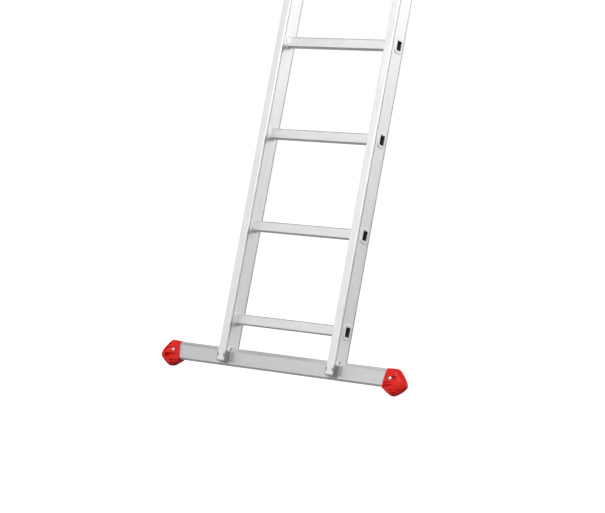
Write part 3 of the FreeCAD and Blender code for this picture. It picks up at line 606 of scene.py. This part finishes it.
def mesh_piece(name, parts, material, sharp_angle=40.0):
    """A piece from closed surfaces in the floor's axes, smooth except at edges over an angle."""
    points, faces = joined([(points, outward(points, faces)) for points, faces in parts])
    mesh = bpy.data.meshes.new(name)
    mesh.from_pydata(points.tolist(), [], faces)
    mesh.validate()
    mesh.polygons.foreach_set("use_smooth", np.ones(len(mesh.polygons), dtype=bool))
    mesh.set_sharp_from_angle(angle=math.radians(sharp_angle))
    mesh.materials.append(material)
    mesh.update()
    piece = bpy.data.objects.new(name, mesh)
    bpy.context.scene.collection.objects.link(piece)
    return piece


def smooth_step(low, high, value):
    """0 below low, 1 above high, and a smooth cubic between."""
    t = np.clip((value - low) / (high - low), 0.0, 1.0)
    return t * t * (3.0 - 2.0 * t)


def soft_minimum(distances, sharpness):
    """(sum of d^-p)^(-1/p): the nearest wall's distance, with the corners between walls rounded."""
    total = sum(distance ** -sharpness for distance in distances)
    return total ** (-1.0 / sharpness)


def smoothed_profile(x, knots, width):
    """A height over x: straight lines between knots, averaged over a short window."""
    knot_x, knot_z = zip(*knots)
    offsets = np.linspace(-width / 2, width / 2, 9)
    samples = [np.interp(x + offset, knot_x, knot_z) for offset in offsets]
    return np.mean(samples, axis=0)


# ---------------------------------------------------------------- foot caps
CAP_COLUMNS = 420
CAP_ROWS = 190
FAR = 1.0
TINY = 1e-6
POINT_SIZE = 0.02 * MM
# the rim leans away from the ladder's middle by this much for each unit of height
RIM_SLANT = 7.4 / 55.0
RIM_THINNING = 2.0 * MM
RIM_THINNING_LENGTH = 20.0 * MM
RIM_BAND = 3.0 * MM
NOSE_LENGTH = 36.0 * MM
TIP_ROUNDING = 3.0 * MM
PROFILE_SMOOTHING = 4.0 * MM
TOP_BEVEL_DEPTH_SHARE = 0.30
TOP_BEVEL_HEIGHT_SHARE = 0.36
OVAL_FROM = 390.0 * MM
OVAL_FULL = 418.0 * MM
CAP_CORNERS = 11.0
POCKET_CORNERS = 60.0
POCKET_CLEARANCE = 0.2 * MM
POCKET_END = BAR_HALF_LENGTH + POCKET_CLEARANCE
BAR_MIDDLE_Z = (BAR_HIGH + BAR_LOW) / 2
SCOOP_COVER = 0.4 * MM
MIDDLE_WALL = 0.8 * MM
POCKET_FADE = 4.0 * MM

# the cap's outline seen from the front, above and below: (x, z) in metres
CAP_TOP_KNOTS = ((0.350, 0.0494), (0.370, 0.0502), (0.386, 0.0512), (0.3955, 0.0508), (0.404, 0.0462),
                 (0.4135, 0.0378), (0.4225, 0.0278), (0.4300, 0.0170), (0.4345, 0.0050))
CAP_BOTTOM_KNOTS = ((0.350, -0.0045), (0.362, -0.0085), (0.371, -0.0140), (0.382, -0.0212),
                    (0.391, -0.0260), (0.398, -0.0263), (0.405, -0.0235), (0.414, -0.0180),
                    (0.424, -0.0100), (0.4315, -0.0025), (0.4345, 0.0050))

# scoops: (deep end x, shallow end x, z at the deep end, z at the shallow end, half height, depth share)
LEAF_FACE_SCOOPS = (
    (0.4145, 0.3720, 0.0025, 0.0040, 0.0074, 1.00),
    (0.4255, 0.3900, 0.0195, 0.0215, 0.0080, 0.80),
    (0.4085, 0.3920, 0.0365, 0.0355, 0.0044, 0.65),
    (0.3900, 0.3580, -0.0120, -0.0095, 0.0034, 0.50),
    (0.3860, 0.3640, -0.0195, -0.0180, 0.0028, 0.45),
)
RIB_FACE_SCOOPS = (
    (0.3885, 0.4060, 0.0220, 0.0220, 0.0060, 0.55),
    (0.3655, 0.3990, -0.0025, 0.0000, 0.0044, 0.50),
    (0.3680, 0.3900, 0.0070, 0.0080, 0.0026, 0.34),
    (0.3850, 0.4200, -0.0112, -0.0118, 0.0023, 0.35),
    (0.3930, 0.4240, -0.0178, -0.0170, 0.0023, 0.35),
)
SCREW_X = 383.5 * MM
SCREW_Z = 21.6 * MM
SCREW_BORE_RADIUS = 5.8 * MM
SCREW_BORE_DEPTH = 3.0 * MM


def scoop_field(x, z, scoops):
    """Depth of wedge-shaped scoops: a steep wall at the deep end, then a ramp up to the shallow end.

    Along a scoop, p runs from 0 at the deep end to 1 at the shallow end, and the depth falls as
    (1 - p) to the power 0.6. Across it, the reach is half of the half height at the deep end and
    all of it from a quarter of the way along, growing with the square root.
    """
    depth = np.zeros_like(x)
    for deep_x, shallow_x, deep_z, shallow_z, half_height, share in scoops:
        p = (x - deep_x) / (shallow_x - deep_x)
        ramp = smooth_step(-0.01, 0.05, p) * np.clip(1.0 - p, 0.0, 1.0) ** 0.6
        middle = deep_z + (shallow_z - deep_z) * np.clip(p, 0.0, 1.0)
        reach = half_height * np.sqrt(np.clip(0.25 + p * 3.0, 0.02, 1.0))
        across = 1.0 - smooth_step(0.65, 1.0, np.abs(z - middle) / reach)
        depth = np.maximum(depth, share * ramp * across)
    return depth


def bevel_distance(across, up, half_depth, half_height, bevel_depth, bevel_height):
    """Distance, along a direction, to the straight line that cuts off a box's top corner.

    The line's normal is (bevel height, bevel depth), so the distance is the normal's product with
    a point of the line, divided by its product with the direction.
    """
    reach = bevel_height * half_depth + bevel_depth * (half_height - bevel_height)
    toward = bevel_height * across + bevel_depth * up
    return np.where(toward > TINY, reach / np.maximum(toward, TINY), FAR)


def cap_section(x, angle, sizes):
    """Outer section of a cap at x: (depth from the bar's middle plane, height), for each angle.

    The distance to each wall along the angle's direction is worked out: the two faces, the top,
    two top bevels and the round sole. A soft minimum of them is the section's radius near the rim,
    and the radius of an ellipse of the same size takes over towards the tip.
    """
    top = smoothed_profile(x, CAP_TOP_KNOTS, PROFILE_SMOOTHING)
    bottom = smoothed_profile(x, CAP_BOTTOM_KNOTS, PROFILE_SMOOTHING)
    at_tip = smooth_step(0.0, 1.0, (sizes.tip_x - x) / TIP_ROUNDING)
    middle = (top + bottom) / 2
    half_height = np.maximum((top - bottom) / 2 * np.sqrt(at_tip), POINT_SIZE)
    nose = np.clip(1.0 - (sizes.tip_x - x) / NOSE_LENGTH, 0.0, 1.0)
    rim_thin = RIM_THINNING * (1.0 - smooth_step(sizes.rim_x, sizes.rim_x + RIM_THINNING_LENGTH, x))
    half_depth = np.maximum((sizes.half_depth - rim_thin) * np.sqrt(1.0 - nose ** 2), POINT_SIZE)
    across, up = np.cos(angle), np.sin(angle)
    face = half_depth / np.maximum(np.abs(across), TINY)
    roof = np.where(up > TINY, half_height / np.maximum(up, TINY), FAR)
    bevel = bevel_distance(np.abs(across), up, half_depth, half_height,
                           TOP_BEVEL_DEPTH_SHARE * half_depth, TOP_BEVEL_HEIGHT_SHARE * half_height)
    lift = SOLE_RADIUS - half_height
    sole = up * lift + np.sqrt(np.maximum(SOLE_RADIUS ** 2 - (lift * across) ** 2, TINY))
    sole = np.where(up < 0.0, sole, FAR)
    boxy = soft_minimum([face, roof, bevel, sole], CAP_CORNERS)
    oval = 1.0 / np.sqrt((across / half_depth) ** 2 + (up / half_height) ** 2)
    radius = boxy + (oval - boxy) * smooth_step(OVAL_FROM, OVAL_FULL, x)
    return radius * across, middle + radius * up


def pocket_section(angle, clearance):
    """Section of the pocket round the bar: (depth from the bar's middle plane, height).

    Its radius is the soft minimum of the distances to the bar's faces, its top and bottom and its
    front bevel, each moved out by the clearance.
    """
    half_depth = BAR_HALF_DEPTH + clearance
    half_height = (BAR_HIGH - BAR_LOW) / 2 + clearance
    across, up = np.cos(angle), np.sin(angle)
    face = half_depth / np.maximum(np.abs(across), TINY)
    ends = half_height / np.maximum(np.abs(up), TINY)
    bevel = bevel_distance(-across, up, half_depth, half_height, BAR_BEVEL_DEPTH, BAR_BEVEL_HEIGHT)
    radius = soft_minimum([face, ends, bevel], POCKET_CORNERS)
    return radius * across, BAR_MIDDLE_Z + radius * up


def foot_cap_surface(sizes, front_scoops, rear_scoops):
    """A right-hand cap: rings from the pocket's end out over the rim and along to the tip.

    Outer rings are sections at x, sheared by the rim's slant, with the scoops sunk in both faces
    and a round bore for the screw's head sunk in the front face. Over the bar, the scoops stop
    short of the pocket.
    """
    angle = np.linspace(0.0, 2 * math.pi, CAP_COLUMNS, endpoint=False)[None, :]
    run = np.linspace(0.0, 1.0, CAP_ROWS)[:, None]
    x = sizes.rim_x + (sizes.tip_x - sizes.rim_x) * (1.0 - (1.0 - run) ** 1.5)
    x = np.minimum(x, sizes.tip_x - POINT_SIZE)
    deep, z = cap_section(x, angle, sizes)
    flank = smooth_step(0.22, 0.50, np.abs(deep) / sizes.half_depth)
    shear = (z - BAR_MIDDLE_Z) * RIM_SLANT * (1.0 - run) ** 2
    outer_x = x + shear
    away_from_rim = smooth_step(0.0, RIM_BAND, x - sizes.rim_x)
    off_screw = np.hypot(outer_x - SCREW_X, z - SCREW_Z)
    screw_bore = 1.0 - smooth_step(0.88, 1.0, off_screw / SCREW_BORE_RADIUS)
    front = np.maximum(scoop_field(outer_x, z, front_scoops) * sizes.scoop_depth,
                       screw_bore * SCREW_BORE_DEPTH) * (deep < 0)
    rear = scoop_field(outer_x, z, rear_scoops) * sizes.scoop_depth * (deep > 0)
    sink = away_from_rim * flank * (front - rear)
    over_bar = 1.0 - smooth_step(0.0, POCKET_FADE, outer_x - POCKET_END)
    kept = MIDDLE_WALL + (BAR_HALF_DEPTH + SCOOP_COVER) * over_bar
    limit = np.maximum(np.abs(deep) - kept, 0.0)
    deep = deep + np.clip(sink, -limit, limit)
    outer = np.stack([outer_x, BAR_MIDDLE_Y + deep, z], axis=-1)

    inner_deep, inner_z = pocket_section(angle, POCKET_CLEARANCE)
    rim_x = sizes.rim_x + (inner_z - BAR_MIDDLE_Z) * RIM_SLANT
    walls = []
    for share in (1.0, 0.75, 0.5, 0.25, 0.02, 0.0):
        wall_x = rim_x + (POCKET_END - rim_x) * share
        walls.append(np.stack([wall_x, BAR_MIDDLE_Y + inner_deep, inner_z], axis=-1))
    rings = np.concatenate(walls + [outer], axis=0)
    start_pole = (POCKET_END, BAR_MIDDLE_Y, BAR_MIDDLE_Z)
    end_pole = (sizes.tip_x, BAR_MIDDLE_Y, float(z[-1].mean()))
    return tube_surface(rings, start_pole, end_pole)


def set_down(points):
    """Stands the points up and presses what is below the floor into a flat sole."""
    placed = stand(points)
    placed[..., 2] = np.maximum(placed[..., 2], 0.0)
    return placed


class LADDER_OT_foot_caps(bpy.types.Operator):
    """Builds the two red foot caps over the bar's ends"""

    bl_idname = "ladder.foot_caps"
    bl_label = "Build the foot caps"

    def execute(self, context):
        sizes = context.scene.ladder_foot_caps
        material = material_of("foot_red_plastic", cap_red)
        # one moulding serves both ends, turned round, so its leaf face is at the left cap's front
        for side, front, rear in (("right", RIB_FACE_SCOOPS, LEAF_FACE_SCOOPS),
                                  ("left", LEAF_FACE_SCOOPS, RIB_FACE_SCOOPS)):
            points, faces = foot_cap_surface(sizes, front, rear)
            if side == "left":
                points = points * (-1.0, 1.0, 1.0)
            piece = mesh_piece("red_foot_cap_" + side, [(set_down(points), faces)], material)
            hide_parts("foot_cap_" + side)
            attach(piece, "base_section")
        return {"FINISHED"}


# ---------------------------------------------------------------- cap screws
SCREW_HEAD_RADIUS = 4.4 * MM
SCREW_HEAD_FRONT = 17.9 * MM
SCREW_HEAD_REAR = 20.5 * MM
SCREW_SHANK_RADIUS = 2.5 * MM
SCREW_TIP = 30.5 * MM
SCREW_COLUMNS = 96
CROWN_ROWS = 22
CROWN_SHARE = 0.92
CROWN_DROP_SHARE = 0.25
CROSS_DEPTH = 1.1 * MM
CROSS_HALF_WIDTH = 0.55 * MM
CROSS_SLOPE_FROM = 1.6 * MM
CROSS_REACH = 2.4 * MM


def screw_surface(side):
    """A pan-head screw: a profile turned round the Y axis, with a cross recess sunk in its crown.

    The profile's points are (radius, y). The recess depth is a product of two smooth steps, of the
    distance off the nearest arm of the cross and of the distance along it.
    """
    crown_radius = np.linspace(0.02, CROWN_SHARE, CROWN_ROWS) * SCREW_HEAD_RADIUS
    drop = (SCREW_HEAD_REAR - SCREW_HEAD_FRONT) * CROWN_DROP_SHARE
    crown_y = SCREW_HEAD_FRONT + drop * (crown_radius / SCREW_HEAD_RADIUS) ** 3
    edge_turn = np.linspace(0.0, math.pi / 2, 6)
    edge_radius = SCREW_HEAD_RADIUS * (CROWN_SHARE + (1.0 - CROWN_SHARE) * np.sin(edge_turn))
    edge_y = crown_y[-1] + drop * (1.0 - np.cos(edge_turn))
    shank = [(SCREW_HEAD_RADIUS, SCREW_HEAD_REAR), (SCREW_SHANK_RADIUS, SCREW_HEAD_REAR),
             (SCREW_SHANK_RADIUS, SCREW_TIP - 1 * MM), (1 * MM, SCREW_TIP)]
    radius = np.concatenate([crown_radius, edge_radius, [point[0] for point in shank]])[:, None]
    y = np.concatenate([crown_y, edge_y, [point[1] for point in shank]])[:, None]
    turn = np.linspace(0.0, 2 * math.pi, SCREW_COLUMNS, endpoint=False)[None, :]
    across, up = radius * np.cos(turn), radius * np.sin(turn)
    off_arm = np.minimum(np.abs(across), np.abs(up))
    along_arm = np.maximum(np.abs(across), np.abs(up))
    in_arm = 1.0 - smooth_step(CROSS_HALF_WIDTH * 0.8, CROSS_HALF_WIDTH * 1.3, off_arm)
    in_reach = 1.0 - smooth_step(CROSS_SLOPE_FROM, CROSS_REACH, along_arm)
    on_crown = (radius < SCREW_HEAD_RADIUS * (CROWN_SHARE + 0.01)) & (y < SCREW_HEAD_REAR)
    deep = y + in_arm * in_reach * CROSS_DEPTH * on_crown
    rings = np.stack([side * SCREW_X + across, deep, SCREW_Z + up], axis=-1)
    crown_pole = (side * SCREW_X, SCREW_HEAD_FRONT + CROSS_DEPTH, SCREW_Z)
    tip_pole = (side * SCREW_X, SCREW_TIP, SCREW_Z)
    points, faces = tube_surface(rings, crown_pole, tip_pole)
    return stand(points), faces


class LADDER_OT_cap_screws(bpy.types.Operator):
    """Builds the pan-head screws that hold the foot caps on the bar"""

    bl_idname = "ladder.cap_screws"
    bl_label = "Build the cap screws"

    def execute(self, context):
        parts = [screw_surface(side) for side in (-1, 1)]
        material = material_of("screw_steel", screw_plating)
        piece = mesh_piece("pan_head_screws", parts, material, sharp_angle=50.0)
        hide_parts("foot_cap_screws")
        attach(piece, "base_section")
        return {"FINISHED"}


# ---------------------------------------------------------------- stage
# directions from the ladder, on which the surround's brightness depends
CAMERA_SIDE = (0.577, -0.800, 0.0)
FAR_RIGHT_SIDE = (0.577, 0.800, 0.1)
KEY_PLACE = (0.83, -3.92, 4.8)
KEY_AIM = (0.0, 0.0, 0.3)
KEY_SIZE = 2.6
FILL_PLACE = (6.5, 10.0, 2.0)
FILL_AIM = (0.0, 0.2, 0.5)
FILL_SIZE = 8.0
FLOOR_HALF_SIZE = 60.0


def world_light():
    """A white surround, dim overhead and behind the camera and brightest at the far right.

    Its colour is a ramp over the direction's height. Its strength is a dimming towards the camera
    plus a glow at the far right, each from the dot product of the direction with that side.
    The viewer sees it plain white.
    """
    world = bpy.data.worlds.new("studio_tent")
    world.use_nodes = True
    tree = world.node_tree
    tree.nodes.clear()
    direction = add_node(tree, "ShaderNodeTexCoord").outputs["Generated"]
    split = add_node(tree, "ShaderNodeSeparateXYZ", {"Vector": direction})
    ramp = add_node(tree, "ShaderNodeValToRGB", {"Fac": split.outputs["Z"]})
    stops = ramp.color_ramp.elements
    stops[0].position, stops[0].color = 0.0, (0.95, 0.95, 0.95, 1.0)
    stops[1].position, stops[1].color = 1.0, (0.10, 0.10, 0.10, 1.0)
    for height, level in ((0.45, 0.85), (0.7, 0.13)):
        stop = stops.new(height)
        stop.color = (level, level, level, 1.0)
    toward_camera = add_node(tree, "ShaderNodeVectorMath", {0: direction, 1: CAMERA_SIDE},
                             operation="DOT_PRODUCT")
    dimming = map_range(tree, toward_camera.outputs["Value"], 0.45, 0.85, 1.0, 0.12)
    toward_far_right = add_node(tree, "ShaderNodeVectorMath", {0: direction, 1: FAR_RIGHT_SIDE},
                                operation="DOT_PRODUCT")
    glow = map_range(tree, toward_far_right.outputs["Value"], 0.70, 0.95, 0.0, 1.6)
    surround = add_node(tree, "ShaderNodeBackground",
                        {"Color": ramp.outputs["Color"], "Strength": maths(tree, "ADD", dimming, glow)})
    seen = add_node(tree, "ShaderNodeBackground", {"Color": (1.0, 1.0, 1.0, 1.0), "Strength": 1.0})
    is_camera = add_node(tree, "ShaderNodeLightPath").outputs["Is Camera Ray"]
    mixed = add_node(tree, "ShaderNodeMixShader",
                     {0: is_camera, 1: surround.outputs[0], 2: seen.outputs[0]})
    output = tree.nodes.new("ShaderNodeOutputWorld")
    tree.links.new(mixed.outputs[0], output.inputs["Surface"])
    bpy.context.scene.world = world


def floor_material():
    """Pale studio floor: it glows white towards the viewer and is a soft grey in reflections."""
    material = bpy.data.materials.new("studio_floor")
    material.use_nodes = True
    tree = material.node_tree
    tree.nodes.clear()
    vector = add_node(tree, "ShaderNodeTexCoord").outputs["Object"]
    noise = add_node(tree, "ShaderNodeTexNoise", {"Vector": vector, "Scale": 30.0, "Detail": 3.0})
    tone = mix_colour(tree, noise.outputs["Fac"], (0.36, 0.36, 0.36, 1.0), (0.40, 0.40, 0.40, 1.0))
    matte = add_node(tree, "ShaderNodeBsdfDiffuse", {"Color": tone})
    glow = add_node(tree, "ShaderNodeEmission", {"Color": (1.0, 1.0, 1.0, 1.0), "Strength": 0.88})
    seen = add_node(tree, "ShaderNodeAddShader", {0: matte.outputs[0], 1: glow.outputs[0]})
    is_camera = add_node(tree, "ShaderNodeLightPath").outputs["Is Camera Ray"]
    mixed = add_node(tree, "ShaderNodeMixShader", {0: is_camera, 1: matte.outputs[0], 2: seen.outputs[0]})
    output = tree.nodes.new("ShaderNodeOutputMaterial")
    tree.links.new(mixed.outputs[0], output.inputs["Surface"])
    return material


def studio_floor():
    """A square floor, large enough to fill the view to the horizon."""
    half = FLOOR_HALF_SIZE
    mesh = bpy.data.meshes.new("studio_floor")
    corners = [(-half, -half, 0.0), (half, -half, 0.0), (half, half, 0.0), (-half, half, 0.0)]
    mesh.from_pydata(corners, [], [(0, 1, 2, 3)])
    mesh.materials.append(floor_material())
    floor = bpy.data.objects.new("studio_floor", mesh)
    bpy.context.scene.collection.objects.link(floor)


def soft_light(name, place, aim, size, power):
    """A square area light at a place, turned to its aim."""
    data = bpy.data.lights.new(name, "AREA")
    data.shape = "SQUARE"
    data.size = size
    data.energy = power
    light = bpy.data.objects.new(name, data)
    away = np.array(aim) - np.array(place)
    light.location = place
    flat = math.hypot(away[0], away[1])
    light.rotation_euler = (math.atan2(flat, -away[2]), 0.0, math.atan2(away[1], away[0]) - math.pi / 2)
    bpy.context.scene.collection.objects.link(light)


class LADDER_OT_stage(bpy.types.Operator):
    """Sets the floor, the soft light and the camera"""

    bl_idname = "ladder.stage"
    bl_label = "Set the stage"

    def execute(self, context):
        scene = context.scene
        settings = scene.ladder_stage
        world_light()
        studio_floor()
        soft_light("key_softbox", KEY_PLACE, KEY_AIM, KEY_SIZE, settings.key_power)
        soft_light("fill_softbox", FILL_PLACE, FILL_AIM, FILL_SIZE, settings.fill_power)
        camera_data = bpy.data.cameras.new("camera")
        camera_data.sensor_width = 36.0
        camera_data.lens = settings.lens
        camera_data.clip_end = 200.0
        camera = bpy.data.objects.new("camera", camera_data)
        camera.location = settings.camera_place
        camera.rotation_euler = settings.camera_turn
        scene.collection.objects.link(camera)
        scene.camera = camera
        scene.view_settings.view_transform = "Standard"
        return {"FINISHED"}


# ---------------------------------------------------------------- panel and registration
STEPS = (LADDER_OT_finish_aluminium, LADDER_OT_finish_plastic, LADDER_OT_finish_steel,
         LADDER_OT_foot_caps, LADDER_OT_cap_screws, LADDER_OT_stage)
GROUPS = {"ladder_finish": LadderFinish, "ladder_foot_caps": LadderFootCaps, "ladder_stage": LadderStage}


class LADDER_PT_panel(bpy.types.Panel):
    """Lists the ladder's settings and the steps that build it"""

    bl_label = "Extension Ladder"
    bl_space_type = "VIEW_3D"
    bl_region_type = "UI"
    bl_category = "Ladder"

    def draw(self, context):
        for name, group in GROUPS.items():
            box = self.layout.box()
            for setting in group.__annotations__:
                box.prop(getattr(context.scene, name), setting)
        for step in STEPS:
            self.layout.operator(step.bl_idname)


def register():
    for group in (*GROUPS.values(), *STEPS, LADDER_PT_panel):
        bpy.utils.register_class(group)
    for name, group in GROUPS.items():
        setattr(bpy.types.Scene, name, bpy.props.PointerProperty(type=group))


def unregister():
    for name in GROUPS:
        delattr(bpy.types.Scene, name)
    for group in reversed((*GROUPS.values(), *STEPS, LADDER_PT_panel)):
        bpy.utils.unregister_class(group)


def main():
    register()
    bpy.ops.ladder.finish_aluminium()
    bpy.ops.ladder.finish_plastic()
    bpy.ops.ladder.finish_steel()
    bpy.ops.ladder.foot_caps()
    bpy.ops.ladder.cap_screws()
    bpy.ops.ladder.stage()


if __name__ == "__main__":
    main()
